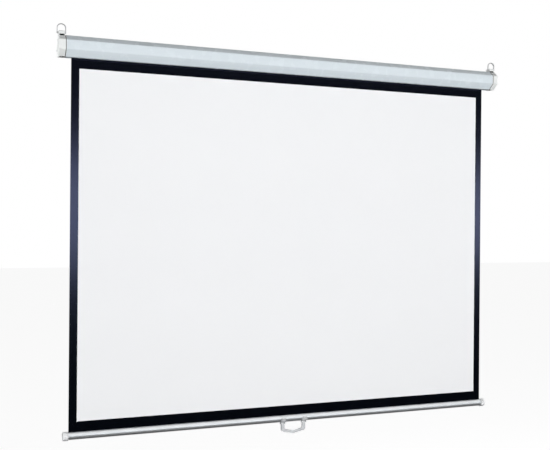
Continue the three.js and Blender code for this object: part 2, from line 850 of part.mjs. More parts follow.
function handleClip() {
  const wrap = THREE.MathUtils.degToRad(clipWrap);
  const points = [];
  for (const [radius, sign] of [[clipInner + clipThickness, 1], [clipInner, -1]]) {
    for (let i = 0; i <= tubeSides; i += 1) {
      const angle = sign * wrap * ((2 * i) / tubeSides - 1);
      points.push([radius * Math.sin(angle), -radius * Math.cos(angle)]);
    }
  }
  const band = extrudedAlongX(shapeOf(points), -clipWidth / 2, clipWidth / 2);
  const knuckles = knucklePlaces.flatMap((place) => {
    const [low, high] = [place - knuckleWidth / 2, place + knuckleWidth / 2];
    const barrel = rod(low, high, knuckleRadius, pinSides).translate(0, 0, -hingeAxisDrop);
    const web = boxBetween(
      [low, -knuckleRadius, -hingeAxisDrop],
      [high, knuckleRadius, -clipInner - clipThickness / 2],
    );
    return [barrel, web];
  });
  const pinBore = rod(-clipWidth, clipWidth, hingePinRadius + gap / 2, pinSides);
  pinBore.translate(0, 0, -hingeAxisDrop);
  const rivetBores = rivetPlaces.map((place) => {
    const bore = rod(0, clipInner + clipThickness + overrun, rivetRadius + gap, pinSides);
    return pointingForward(bore).translate(place, 0, 0);
  });
  const tubeRoom = rod(-clipWidth, clipWidth, clipInner, tubeSides);
  return cutBy(joined(band, ...knuckles), tubeRoom, pinBore, ...rivetBores);
}

function hingePin() {
  const end = clipWidth / 2 + gap;
  const head = end + hingePinHeadLength;
  return turned([
    [-head, 0],
    [-head, hingePinHeadRadius],
    [-end, hingePinHeadRadius],
    [-end, hingePinRadius],
    [end, hingePinRadius],
    [end, hingePinHeadRadius],
    [head, hingePinHeadRadius],
    [head, 0],
  ], pinSides);
}

function rivet() {
  const seat = clipInner + clipThickness + gap;
  const head = turned([
    [barRadius - barWall - gap, 0],
    [barRadius - barWall - gap, rivetRadius],
    [seat, rivetRadius],
    [seat, rivetHeadRadius],
    [seat + rivetHeadHeight / 2, rivetHeadRadius * Math.cos(Math.PI / 6)],
    [seat + rivetHeadHeight, rivetHeadRadius / 2],
    [seat + rivetHeadHeight, 0],
  ], pinSides);
  return pointingForward(head);
}

// Closed outline with every corner rounded off
function roundedShape(points, radius) {
  const corners = points.map(([across, up]) => new THREE.Vector2(across, up));
  const shape = new THREE.Shape();
  corners.forEach((corner, i) => {
    const before = corners[(i + corners.length - 1) % corners.length];
    const after = corners[(i + 1) % corners.length];
    const reach = Math.min(radius, corner.distanceTo(before) / 2, corner.distanceTo(after) / 2);
    const start = corner.clone().add(before.clone().sub(corner).setLength(reach));
    const end = corner.clone().add(after.clone().sub(corner).setLength(reach));
    if (i === 0) shape.moveTo(start.x, start.y);
    else shape.lineTo(start.x, start.y);
    shape.quadraticCurveTo(corner.x, corner.y, end.x, end.y);
  });
  shape.closePath();
  return shape;
}

// Pull handle; its hinge axis is the origin
const neckWidth = clipWidth - 2 * knuckleWidth - 2 * gap;
const neckRadius = knuckleRadius - gap; // turns clear of the clip above it

function pullHandle() {
  const [outer, inner] = [handleWidth / 2, handleWidth / 2 - handleBand];
  const legTop = -knuckleRadius - gap;
  const bandRise = handleBottomBand;
  const rightSide = [
    [outer, legTop],
    [outer, -handleSideEnd],
    [outer - handleCornerCut, -handleCornerDrop],
  ];
  const rightInside = [
    [inner, bandRise - handleCornerDrop],
    [inner, legTop],
  ];
  const leftOf = (points) => points.map(([x, z]) => [-x, z]).reverse();
  const outline = [
    ...rightSide,
    [0, -handleDrop],
    ...leftOf(rightSide),
    ...leftOf(rightInside),
    [0, bandRise - handleDrop],
    ...rightInside,
  ];
  const loop = extrudedAlongY(roundedShape(outline, handleRounding), handleThickness, handleBevel);
  const necks = [-1, 1].flatMap((side) => {
    const [low, high] = [side * clipCentre - neckWidth / 2, side * clipCentre + neckWidth / 2];
    const web = boxBetween(
      [low, -neckRadius, legTop - handleRounding],
      [high, neckRadius, 0],
    );
    return [rod(low, high, neckRadius, pinSides), web];
  });
  const bores = [-1, 1].map((side) => {
    const bore = rod(-clipWidth, clipWidth, hingePinRadius + gap / 2, pinSides);
    return bore.translate(side * clipCentre, 0, 0);
  });
  return cutBy(joined(loop, ...necks), ...bores);
}

// Casing with its ends and what is fixed in them
const casing = groupAt(root, 0, -casingDepth / 2, 0);
addPiece(casing, 'casing_shell', casingShell(), whiteEnamel);

for (const [sideName, side, opening] of [['left', -1, tongueSlot()], ['right', 1, bushHole()]]) {
  const end = groupAt(casing, side * casingEnd, 0, 0);
  addPiece(end, `${sideName}_end_cap`, handed(endCap(), side), whitePlastic);
  addPiece(end, `${sideName}_bracket_plate`, handed(bracketPlate(opening), side), zincSteel);
  screwPlaces.forEach(([y, z], i) => {
    const place = groupAt(end, 0, y, z);
    addPiece(place, `${sideName}_cap_screw_${i + 1}`, handed(capScrew(), side), zincSteel);
  });
  const hinge = groupAt(end, (side * (blockInner + capLength)) / 2, ...loopPivot);
  addPiece(hinge, `${sideName}_hanger_loop`, hangerLoop(), zincSteel);
}

// Roller, with the spring mechanism at its left end and the idler at its right
const roller = groupAt(casing, 0, rollerInCasing, 0);
const wrapsInner = rollerRadius + gap;
addPiece(roller, 'roller_tube',
  pipe(-rollerEnd, rollerEnd, rollerRadius, rollerRadius - rollerWall, tubeSides), satinAluminium);
addPiece(roller, 'fabric_wraps',
  pipe(-fabricWidth / 2, fabricWidth / 2, wrapsRadius, wrapsInner, tubeSides), blackCloth);

const springSide = groupAt(roller, -rollerEnd, 0, 0);
addPiece(springSide, 'spring_end_plug', handed(springEndPlug(), -1), nylon);
addPiece(springSide, 'roller_spindle', handed(spindle(), -1), zincSteel);
addPiece(springSide, 'torsion_spring', handed(torsionSpring(), -1), springSteel);
const anchor = pipe(anchorStart - anchorLength, anchorStart, plugRadius, spindleRadius + gap, tubeSides);
addPiece(springSide, 'spring_anchor', handed(anchor, -1), nylon);
addPiece(springSide, 'ratchet_disc', handed(ratchetDisc(), -1), zincSteel);
for (const [name, turn] of [['upper', 0], ['lower', Math.PI]]) {
  const place = groupAt(springSide, 0, 0, 0);
  place.rotation.x = turn;
  const pivot = groupAt(place, 0, 0, pawlPivotRadius);
  addPiece(pivot, `${name}_pawl_pin`, handed(pawlPin(), -1), zincSteel);
  const lever = addPiece(pivot, `${name}_pawl`, handed(pawl(), -1), zincSteel);
  lever.rotation.x = pawlHeading;
}

const idlerSide = groupAt(roller, rollerEnd, 0, 0);
addPiece(idlerSide, 'idler_end_plug', rollerPlug(idlerPinRadius + gap), nylon);
const pinEnd = plateInner + plateThickness + idlerPinReach - rollerEnd;
addPiece(idlerSide, 'idler_pin', rod(-idlerPinGrip, pinEnd, idlerPinRadius, tubeSides), zincSteel);
const bushPlace = groupAt(roller, plateInner, 0, 0);
addPiece(bushPlace, 'idler_bush', idlerBush(), nylon);

// Fabric: a black-backed sheet with black borders and a white coat on its front
const hanging = groupAt(casing, 0, fabricInCasing, 0);
const halfFabric = fabricWidth / 2;
addPiece(hanging, 'screen_fabric', boxBetween(
  [-halfFabric, -sheetThickness / 2, barAxis + neckTop + gap],
  [halfFabric, sheetThickness / 2, 0],
), blackCloth);
const coatBack = -sheetThickness / 2 - gap;
addPiece(hanging, 'white_surface', boxBetween(
  [-whiteWidth / 2, coatBack - coatThickness, -topBorder - whiteHeight],
  [whiteWidth / 2, coatBack, -topBorder],
), whiteCoat);

// Bottom tube with its hem rod, knobs, clips and handle
const bar = groupAt(hanging, 0, 0, barAxis);
addPiece(bar, 'bottom_tube', bottomTube(), satinAluminium);
addPiece(bar, 'fabric_hem', fabricHem(), blackCloth);
const hemRod = groupAt(bar, 0, 0, hemRise);
addPiece(hemRod, 'hem_rod', rod(-hemEnd, hemEnd, hemRodRadius, pinSides), nylon);

for (const [sideName, side] of [['left', -1], ['right', 1]]) {
  const end = groupAt(bar, side * barEnd, 0, 0);
  addPiece(end, `${sideName}_bar_knob`, handed(barKnob(), side), greyPlastic);
  const clip = groupAt(bar, side * clipCentre, 0, 0);
  addPiece(clip, `${sideName}_handle_clip`, handleClip(), greyPlastic);
  rivetPlaces.forEach((place, i) => {
    const spot = groupAt(clip, place, 0, 0);
    addPiece(spot, `${sideName}_clip_rivet_${i + 1}`, rivet(), zincSteel);
  });
  const pinPlace = groupAt(clip, 0, 0, -hingeAxisDrop);
  addPiece(pinPlace, `${sideName}_handle_pin`, hingePin(), zincSteel);
}
const handle = groupAt(bar, 0, 0, -hingeAxisDrop);
addPiece(handle, 'pull_handle', pullHandle(), greyPlastic);

export default root;
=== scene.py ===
"""Looks of a pull down projector screen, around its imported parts.

Metres, +Z up, +X along the casing, the viewer on the -Y side. The origin is the middle of
the casing's flat back.
"""

import json
import math

import bmesh
import bpy
from mathutils import Matrix, Vector


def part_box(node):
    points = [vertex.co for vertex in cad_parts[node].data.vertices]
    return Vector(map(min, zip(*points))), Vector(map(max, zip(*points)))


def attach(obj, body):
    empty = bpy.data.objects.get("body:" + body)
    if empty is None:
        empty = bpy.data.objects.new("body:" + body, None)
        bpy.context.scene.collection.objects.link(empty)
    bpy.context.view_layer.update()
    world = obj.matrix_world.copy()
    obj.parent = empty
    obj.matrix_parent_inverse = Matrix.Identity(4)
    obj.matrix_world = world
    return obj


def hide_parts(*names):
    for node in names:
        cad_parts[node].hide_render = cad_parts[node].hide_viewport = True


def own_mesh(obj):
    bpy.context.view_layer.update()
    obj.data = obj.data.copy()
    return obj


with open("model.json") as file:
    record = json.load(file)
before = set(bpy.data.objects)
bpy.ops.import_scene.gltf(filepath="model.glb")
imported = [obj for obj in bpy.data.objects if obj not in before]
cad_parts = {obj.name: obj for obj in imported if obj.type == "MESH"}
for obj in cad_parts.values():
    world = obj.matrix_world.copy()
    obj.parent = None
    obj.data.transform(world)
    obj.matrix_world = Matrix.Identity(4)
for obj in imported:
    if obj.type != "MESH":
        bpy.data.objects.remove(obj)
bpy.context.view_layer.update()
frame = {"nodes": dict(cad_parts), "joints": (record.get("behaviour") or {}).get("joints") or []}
scene = bpy.context.scene
scene.view_settings.view_transform = "Standard"

MM = 0.001
SIDES = ("left", "right")


def joint(name):
    return next(j for j in frame["joints"] if j["name"] == name)


# Camera, at the photograph's viewing angle

CAMERA_PLACE = (-1.338, -3.171, -0.630)
CAMERA_TURN = (21.733, -0.077, 0.465)  # yaw, pitch and roll, in degrees
CAMERA_LENS, CAMERA_FILM = 56.183, 36  # millimetres
CAMERA_REACH = 100


def add_camera():
    yaw, pitch, roll = (math.radians(angle) for angle in CAMERA_TURN)
    forward = Vector((
        math.sin(yaw) * math.cos(pitch), math.cos(yaw) * math.cos(pitch), math.sin(pitch)))
    level = Vector((math.cos(yaw), -math.sin(yaw), 0))
    upright = level.cross(forward)
    right = level * math.cos(roll) + upright * math.sin(roll)
    up = upright * math.cos(roll) - level * math.sin(roll)
    data = bpy.data.cameras.new("camera")
    data.lens = CAMERA_LENS
    data.sensor_width = CAMERA_FILM
    data.clip_end = CAMERA_REACH
    camera = bpy.data.objects.new("camera", data)
    turn = Matrix((right, up, -forward)).transposed().to_4x4()
    camera.matrix_world = Matrix.Translation(CAMERA_PLACE) @ turn
    scene.collection.objects.link(camera)
    scene.camera = camera


add_camera()


# Materials: every pattern follows the piece's own coordinates, in metres

WAVE_UNIT = math.pi / 10  # scale at which the wave texture has one ridge a unit
THREAD_PITCH = 0.0006


class Finish:
    def __init__(self, name, slot, metallic=0.0, specular=0.5, tint=(1, 1, 1)):
        self.slot = slot
        self.material = bpy.data.materials.new(name)
        self.material.use_nodes = True
        self.tree = self.material.node_tree
        self.shader = self.tree.nodes["Principled BSDF"]
        self.shader.inputs["Metallic"].default_value = metallic
        self.shader.inputs["Specular IOR Level"].default_value = specular
        self.shader.inputs["Specular Tint"].default_value = (*tint, 1)
        self.place = self.tree.nodes.new("ShaderNodeTexCoord").outputs["Object"]

    def join(self, source, target):
        self.tree.links.new(source, target)

    def scaled(self, sizes):
        mapping = self.tree.nodes.new("ShaderNodeMapping")
        mapping.inputs["Scale"].default_value = [1 / size for size in sizes]
        self.join(self.place, mapping.inputs["Vector"])
        return mapping.outputs["Vector"]

    def noise(self, sizes, detail):
        """Noise with patches about as long, deep and high as sizes."""
        texture = self.tree.nodes.new("ShaderNodeTexNoise")
        texture.inputs["Scale"].default_value = 1
        texture.inputs["Detail"].default_value = detail
        self.join(self.scaled(sizes), texture.inputs["Vector"])
        return texture.outputs["Fac"]

    def threads(self, pitch, axis):
        """Slightly uneven ridges pitch metres apart, counted along axis X, Y or Z."""
        texture = self.tree.nodes.new("ShaderNodeTexWave")
        texture.bands_direction = axis
        texture.inputs["Scale"].default_value = WAVE_UNIT
        texture.inputs["Distortion"].default_value = 0.6
        texture.inputs["Detail"].default_value = 1
        self.join(self.scaled(cube(pitch)), texture.inputs["Vector"])
        return texture.outputs["Fac"]

    def math(self, kind, first, second):
        node = self.tree.nodes.new("ShaderNodeMath")
        node.operation = kind
        for socket, value in zip(node.inputs, (first, second)):
            self.join(value, socket)
        return node.outputs[0]

    def ramp(self, value, low, high, start=0.3, stop=0.7):
        """value, from start to stop, taken to low to high."""
        node = self.tree.nodes.new("ShaderNodeMapRange")
        for socket, number in zip(node.inputs[1:5], (start, stop, low, high)):
            socket.default_value = number
        self.join(value, node.inputs[0])
        return node.outputs[0]

    def painted_crevice_shade(self, reach, shut, clear, floor):
        """Painted shade: 1 on open faces, down to floor in slots and hollows up to about reach
        across.
        """
        node = self.tree.nodes.new("ShaderNodeAmbientOcclusion")
        node.only_local = True
        node.samples = 8
        node.inputs["Distance"].default_value = reach
        return self.ramp(node.outputs["AO"], floor, 1, shut, clear)

    def colour(self, value, first, second, painted_shade=None):
        """Base colour from first to second as value goes from 0 to 1, darker where the painted shade
        factor is low.
        """
        node = self.tree.nodes.new("ShaderNodeMix")
        node.data_type = "RGBA"
        node.inputs[6].default_value = (*first, 1)
        node.inputs[7].default_value = (*second, 1)
        self.join(value, node.inputs[0])
        made = node.outputs[2]
        if painted_shade is not None:
            # Painted shade: the base colour is multiplied down where the factor is low.
            node = self.tree.nodes.new("ShaderNodeMix")
            node.data_type = "RGBA"
            node.blend_type = "MULTIPLY"
            node.inputs[0].default_value = 1
            self.join(made, node.inputs[6])
            self.join(painted_shade, node.inputs[7])
            made = node.outputs[2]
        self.join(made, self.shader.inputs["Base Color"])

    def roughness(self, value, low, high):
        self.join(self.ramp(value, low, high), self.shader.inputs["Roughness"])

    def relief(self, *layers):
        """Bump from (height, strength, distance in metres) layers, coarse to fine."""
        normal = None
        for height, strength, distance in layers:
            node = self.tree.nodes.new("ShaderNodeBump")
            node.inputs["Strength"].default_value = strength
            node.inputs["Distance"].default_value = distance
            self.join(height, node.inputs["Height"])
            if normal is not None:
                self.join(normal, node.inputs["Normal"])
            normal = node.outputs["Normal"]
        self.join(normal, self.shader.inputs["Normal"])


def cube(size):
    return (size, size, size)


def shade(colour, factor):
    return tuple(min(1.0, part * factor) for part in colour)


def white_enamel():
    made = Finish("white_enamel", "white_enamel", specular=0.25)
    base = (0.715, 0.785, 0.83)
    made.colour(
        made.ramp(made.noise(cube(0.22), 2), 0, 1, 0, 1), shade(base, 0.985), shade(base, 1.015))
    made.roughness(made.noise(cube(0.03), 3), 0.24, 0.29)
    made.relief(
        (made.noise((0.4, 0.03, 0.03), 1), 0.12, 0.0008),
        (made.noise(cube(0.0024), 1), 0.10, 0.00006),
    )
    return made


def white_plastic():
    made = Finish("white_plastic", "white_plastic", specular=0.4)
    base = (0.835, 0.855, 0.85)
    # Painted shade: the plastic is darkened in hollows, slots and inside corners, where shade falls.
    hollow_shade = made.painted_crevice_shade(0.06, 0.38, 0.80, 0.05)
    corners = made.painted_crevice_shade(0.005, 0.35, 0.85, 0.25)
    made.colour(
        made.ramp(made.noise(cube(0.02), 2), 0, 1, 0, 1), shade(base, 0.98), shade(base, 1.02),
        made.math("MULTIPLY", hollow_shade, corners))
    made.roughness(made.noise(cube(0.008), 3), 0.44, 0.56)
    made.relief(
        (made.noise(cube(0.012), 2), 0.10, 0.0003),
        (made.noise(cube(0.0005), 1), 0.25, 0.00003),
    )
    return made


def zinc_steel():
    made = Finish("zinc_steel", "zinc_steel", metallic=0.85)
    made.colour(
        made.ramp(made.noise(cube(0.006), 3), 0, 1), (0.66, 0.675, 0.69), (0.78, 0.78, 0.76))
    made.roughness(made.noise(cube(0.003), 3), 0.26, 0.42)
    made.relief((made.noise((0.006, 0.0004, 0.0004), 2), 0.2, 0.00003))
    return made


def spring_steel():
    made = Finish("spring_steel", "spring_steel", metallic=1.0)
    made.colour(
        made.ramp(made.noise(cube(0.004), 3), 0, 1), (0.13, 0.135, 0.14), (0.25, 0.24, 0.23))
    made.roughness(made.noise(cube(0.002), 3), 0.3, 0.46)
    made.relief((made.noise(cube(0.0008), 2), 0.2, 0.00003))
    return made


def nylon():
    made = Finish("nylon", "nylon", specular=0.4)
    made.colour(made.ramp(made.noise(cube(0.01), 3), 0, 1), (0.66, 0.64, 0.57), (0.74, 0.725, 0.66))
    made.roughness(made.noise(cube(0.004), 2), 0.42, 0.54)
    made.relief((made.noise(cube(0.0012), 2), 0.15, 0.00004))
    return made


def weave(made, pitch):
    """Plain weave: warp and weft ridges crossing."""
    across = made.threads(pitch, "X")
    down = made.threads(pitch, "Z")
    return made.math("MAXIMUM", across, down)


def black_fabric():
    made = Finish("black_fabric", "black_fabric", specular=0.5, tint=(0.55, 0.60, 1.0))
    made.colour(
        made.ramp(made.noise(cube(0.05), 3), 0, 1),
        (0.0004, 0.0008, 0.0016), (0.0010, 0.0016, 0.0026))
    made.roughness(made.noise(cube(0.004), 3), 0.17, 0.21)
    made.relief(
        (made.noise(cube(0.09), 1), 0.03, 0.002),
        (weave(made, THREAD_PITCH), 0.05, 0.00002),
    )
    return made


def white_coating():
    made = Finish("white_coating", "white_coating", specular=0.06)
    base = (0.872, 0.880, 0.896)
    made.colour(made.ramp(made.noise(cube(0.25), 3), 0, 1), shade(base, 0.997), shade(base, 1.003))
    made.roughness(made.noise(cube(0.002), 2), 0.86, 0.96)
    made.relief(
        (weave(made, THREAD_PITCH), 0.05, 0.00002),
        (made.noise(cube(0.0004), 2), 0.12, 0.00002),
    )
    return made


def silver_tube():
    made = Finish("silver_tube", "silver_tube", metallic=0.85, specular=0.5)
    base = (0.89, 0.91, 0.92)
    made.colour(
        made.ramp(made.noise((0.25, 0.004, 0.004), 3), 0, 1), shade(base, 0.98), shade(base, 1.02))
    made.roughness(made.noise((0.05, 0.0007, 0.0007), 3), 0.42, 0.52)
    made.relief((made.noise((0.02, 0.0004, 0.0004), 3), 0.12, 0.00002))
    return made


def grey_plastic(name, base):
    made = Finish(name, "grey_plastic", specular=0.4)
    # Painted shade: the plastic is darkened in its inside corners and creases, where shade falls.
    corners = made.painted_crevice_shade(0.004, 0.25, 0.7, 0.4)
    made.colour(
        made.ramp(made.noise(cube(0.012), 2), 0, 1, 0, 1), shade(base, 0.97), shade(base, 1.03),
        corners)
    made.roughness(made.noise(cube(0.006), 3), 0.40, 0.52)
    made.relief((made.noise(cube(0.0006), 2), 0.22, 0.00003))
    return made


ENAMEL, PLASTIC, STEEL, SPRING = white_enamel(), white_plastic(), zinc_steel(), spring_steel()
NYLON, BLACK, WHITE = nylon(), black_fabric(), white_coating()
TUBE, GREY = silver_tube(), grey_plastic("grey_plastic", (0.62, 0.635, 0.65))
PALE = grey_plastic("knob_plastic", (0.80, 0.81, 0.82))


# Geometry helpers

# Degrees between faces from which an edge is shown sharp: usual, dressed pieces, wire and cloth
HARD, DRESSED, SOFT = 32, 34, 60
SAME_POINT = 0.004 * MM            # points closer than this are one
SAME_PLANE = math.radians(0.6)
NEARLY_STRAIGHT = math.radians(89)  # half the angle at a corner that needs no arc
SIDE_SHARE = 0.49                  # most of a side that the arc at one of its ends may take
TIP = 0.00001                      # radius of a turned piece where its profile meets the axis


def add_piece(name, mesh, finish, body, replaced=(), crease=HARD):
    mesh.materials.clear()
    mesh.materials.append(finish.material)
    for face in mesh.polygons:
        face.use_smooth = True
    mesh.set_sharp_from_angle(angle=math.radians(crease))
    piece = bpy.data.objects.new(name, mesh)
    scene.collection.objects.link(piece)
    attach(piece, body)
    if replaced:
        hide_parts(*replaced)
    return piece


def mesh_from(name, vertices, faces):
    mesh = bpy.data.meshes.new(name)
    mesh.from_pydata([tuple(v) for v in vertices], [], faces)
    form = bmesh.new()
    form.from_mesh(mesh)
    bmesh.ops.recalc_face_normals(form, faces=form.faces)
    form.to_mesh(mesh)
    form.free()
    return mesh


def skin(rings):
    """Vertices and faces of a solid through rings of points, closed at both ends."""
    count = len(rings[0])
    vertices = [point for ring in rings for point in ring]
    faces = []
    for s in range(len(rings) - 1):
        low, high = s * count, (s + 1) * count
        for i in range(count):
            j = (i + 1) % count
            faces.append((low + i, low + j, high + j, high + i))
    faces.append(tuple(reversed(range(count))))
    faces.append(tuple(range(len(vertices) - count, len(vertices))))
    return vertices, faces


def merged(*parts):
    """Several (vertices, faces) lists as one."""
    vertices, faces = [], []
    for more_vertices, more_faces in parts:
        shift = len(vertices)
        vertices += list(more_vertices)
        faces += [tuple(i + shift for i in face) for face in more_faces]
    return vertices, faces


def filleted(points, radius, steps=4):
    """A closed outline with its corners turned into arcs; radius is one number or one a corner."""
    made = []
    count = len(points)
    for i, corner in enumerate(points):
        here = Vector(corner)
        before = Vector(points[i - 1]) - here
        after = Vector(points[(i + 1) % count]) - here
        want = radius[i] if isinstance(radius, (list, tuple)) else radius
        half = before.angle(after) / 2
        reach = min(
            want / math.tan(half), SIDE_SHARE * before.length, SIDE_SHARE * after.length)
        if want <= 0 or half > NEARLY_STRAIGHT:
            made.append(tuple(here))
            continue
        real = reach * math.tan(half)
        middle = here + (before.normalized() + after.normalized()).normalized() * (
            real / math.sin(half))
        start = here + before.normalized() * reach - middle
        stop = here + after.normalized() * reach - middle
        turn = start.angle_signed(stop)
        for s in range(steps + 1):
            spin = Matrix.Rotation(-turn * s / steps, 2)
            made.append(tuple(middle + spin @ start))
    return made


def turned(profile, y, z, sides=96):
    """A closed solid turned round an axis along X through y, z, from (x, radius) pairs."""
    rings = []
    for x, radius in profile:
        radius = max(radius, TIP)
        rings.append([
            (x, y + radius * math.cos(a), z + radius * math.sin(a))
            for a in (2 * math.pi * i / sides for i in range(sides))
        ])
    return skin(rings)


def ease(piece, name, width, segments, crease):
    """Round the edges of a piece that turn by more than crease degrees."""
    bevel = piece.modifiers.new(name, "BEVEL")
    bevel.width = width
    bevel.segments = segments
    bevel.limit_method = "ANGLE"
    bevel.angle_limit = math.radians(crease)
    bevel.harden_normals = True


def dressed(node, finish, body, edge, segments=2):
    """A CAD node's own form, with its edges eased and its round faces smooth."""
    form = bmesh.new()
    form.from_mesh(frame["nodes"][node].data)
    bmesh.ops.remove_doubles(form, verts=form.verts, dist=SAME_POINT)
    bmesh.ops.dissolve_limit(
        form, angle_limit=SAME_PLANE, verts=form.verts, edges=form.edges)
    mesh = bpy.data.meshes.new(node + "_dressed")
    form.to_mesh(mesh)
    form.free()
    piece = add_piece(node + "_dressed", mesh, finish, body, [node], DRESSED)
    ease(piece, "eased_edges", edge, segments, DRESSED)


# Casing: one folded sheet, with a small radius at every fold

UPPER_CHAMFER, LOWER_CHAMFER, REAR_CHAMFER = (23.0, 19.5), (26.5, 22.5), (19.5, 19.5)


def chamfer(size, inset):
    """Depth and height in metres, on the face that lies inset inside the outer one.

    size is the outer face's depth and height in millimetres.
    """
    depth, height = size
    slope = math.hypot(depth, height)
    return (depth * MM - inset + inset * height / (slope + depth),
            height * MM - inset + inset * depth / (slope + height))


def add_casing():
    low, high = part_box("casing_shell")
    wall, fold = 1.0 * MM, 2.2 * MM
    slot_front, slot_back, lip = -34.0 * MM, -22.5 * MM, 5.0 * MM
    rim, tip, tuck = 1.1 * MM, 0.45 * MM, 0.3 * MM  # radii at the slot's lips

    def section(inset):
        front, back = low.y + inset, high.y - inset
        top, bottom = high.z - inset, low.z + inset
        upper, lower = chamfer(UPPER_CHAMFER, inset), chamfer(LOWER_CHAMFER, inset)
        rear = chamfer(REAR_CHAMFER, inset)[0]
        return [
            (front + lower[0], bottom), (front, bottom + lower[1]),
            (front, top - upper[1]), (front + upper[0], top),
            (back - rear, top), (back, top - rear),
            (back, bottom + rear), (back - rear, bottom),
        ]

    outer, inner = section(0), section(wall)
    lip_top, floor = low.z + lip, low.z + wall
    outline = [(slot_front, low.z)] + outer + [
        (slot_back, low.z), (slot_back, lip_top), (slot_back + wall, lip_top),
        (slot_back + wall, floor),
    ] + inner[::-1] + [
        (slot_front - wall, floor), (slot_front - wall, lip_top), (slot_front, lip_top),
    ]
    radii = [rim] + [fold] * len(outer) + [rim, tip, tip, tuck]
    radii += [fold - wall] * len(inner) + [tuck, tip, tip]
    outline = filleted(outline, radii, 5)
    rings = [[(x, y, z) for y, z in outline] for x in (low.x, high.x)]
    mesh = mesh_from("casing_sheet", *skin(rings))
    add_piece("casing_sheet", mesh, ENAMEL, "casing", ["casing_shell"])


add_casing()

for side in SIDES:
    dressed(f"{side}_end_cap", PLASTIC, "casing", 0.7 * MM, 3)
    dressed(f"{side}_bracket_plate", STEEL, "casing", 0.2 * MM)
    dressed(f"{side}_cap_screw_1", STEEL, "casing", 0.12 * MM)
    dressed(f"{side}_cap_screw_2", STEEL, "casing", 0.12 * MM)


# Hanger loops: bent strip with rounded edges, its ends turned in as pins

def add_loop(side):
    node = f"{side}_hanger_loop"
    low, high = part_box(node)
    strip, depth, corner = 3.0 * MM, high.y - low.y, 0.9 * MM
    centre_x, centre_y = (low.x + high.x) / 2, (low.y + high.y) / 2
    radius = (high.x - low.x) / 2
    pivot = joint(f"{side}_hanger_fold")["pos_m"][2]
    loop_rise, foot_drop, arch_steps = 34.5 * MM, 1.5 * MM, 56
    pin_start, pin_radius, pin_tip, pin_edge = 6.3 * MM, 2.5 * MM, 2.1 * MM, 0.4 * MM
    pin_inset, pin_sides = 0.02 * MM, 40
    arch = pivot + loop_rise - radius
    rise = (high.z - arch) / radius
    outline = filleted([
        (-strip / 2, -depth / 2), (strip / 2, -depth / 2),
        (strip / 2, depth / 2), (-strip / 2, depth / 2),
    ], corner, 3)
    rings = []

    def ring(x, z, angle, size=1.0):
        out = Vector((math.cos(angle), 0, math.sin(angle)))
        rings.append([
            Vector((x, centre_y, z)) + out * a * size + Vector((0, b * size, 0))
            for a, b in outline
        ])

    middle = radius - strip / 2
    foot = pivot - foot_drop
    # The legs' feet taper: height, and share of the strip's full section there
    leg = [(foot, 0.62), (foot + 0.35 * MM, 0.86), (foot + 1.1 * MM, 1.0)]
    for z, size in leg:
        ring(centre_x + middle, z, 0, size)
    for s in range(arch_steps + 1):
        angle = math.pi * s / arch_steps
        ring(centre_x + middle * math.cos(angle), arch + rise * middle * math.sin(angle), angle)
    for z, size in reversed(leg):
        ring(centre_x - middle, z, math.pi, size)
    parts = [skin(rings)]
    pin_end = radius - pin_inset
    profile = [
        (pin_start, 0), (pin_start, pin_tip), (pin_start + pin_edge, pin_radius),
        (pin_end - pin_edge, pin_radius), (pin_end, pin_tip), (pin_end, 0),
    ]
    for end in (-1, 1):
        placed = [(centre_x + end * x, r) for x, r in profile]
        parts.append(turned(placed, centre_y, pivot, pin_sides))
    mesh = mesh_from(node + "_strip", *merged(*parts))
    add_piece(node + "_strip", mesh, STEEL, f"{side}_hanger", [node])


add_loop("left")
add_loop("right")


# Roller and its mechanism

dressed("roller_tube", TUBE, "roller", 0.2 * MM)
dressed("fabric_wraps", BLACK, "roller", 0.1 * MM)
dressed("spring_end_plug", NYLON, "roller", 0.25 * MM)
dressed("idler_end_plug", NYLON, "roller", 0.25 * MM)
dressed("spring_anchor", NYLON, "roller", 0.25 * MM)
dressed("idler_pin", STEEL, "roller", 0.3 * MM)
dressed("upper_pawl_pin", STEEL, "roller", 0.12 * MM)
dressed("lower_pawl_pin", STEEL, "roller", 0.12 * MM)
dressed("upper_pawl", STEEL, "upper_pawl", 0.15 * MM)
dressed("lower_pawl", STEEL, "lower_pawl", 0.15 * MM)
dressed("roller_spindle", STEEL, "casing", 0.2 * MM)
dressed("ratchet_disc", STEEL, "casing", 0.15 * MM)
dressed("idler_bush", NYLON, "casing", 0.15 * MM)


def add_spring():
    low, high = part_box("torsion_spring")
    axis_y = (low.y + high.y) / 2
    axis_z = (low.z + high.z) / 2
    wire, radius = 1.1 * MM, 9.4 * MM
    turns, around, sides = 24, 28, 10
    length = high.x - low.x - 2 * wire
    rings = []
    for i in range(turns * around + 1):
        angle = 2 * math.pi * i / around
        out = Vector((0, math.cos(angle), math.sin(angle)))
        centre = Vector((low.x + wire + length * i / (turns * around), axis_y, axis_z))
        centre += out * radius
        rings.append([
            centre + out * wire * math.cos(a) + Vector((wire * math.sin(a), 0, 0))
            for a in (2 * math.pi * s / sides for s in range(sides))
        ])
    mesh = mesh_from("spring_coil", *skin(rings))
    add_piece("spring_coil", mesh, SPRING, "casing", ["torsion_spring"], SOFT)


add_spring()


# Fabric: a black sheet that hangs almost flat, and the white coat on its front

FABRIC_LOW, FABRIC_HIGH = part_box("screen_fabric")
HALF = FABRIC_HIGH.x
FABRIC_Y = (FABRIC_LOW.y + FABRIC_HIGH.y) / 2
COAT_LOW, COAT_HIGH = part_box("white_surface")
THICK = 0.5 * MM
COAT_FRONT, COAT_BACK = 0.10 * MM, 0.01 * MM  # how far they lie in front of the black sheet
BILLOW = 1.1 * MM                             # the most that the sheet stands back
SPLIT_DROP, HEM_OVERLAP = 0.1 * MM, 0.25 * MM
COLUMNS, ROWS, BORDER_ROWS = 72, 56, 2


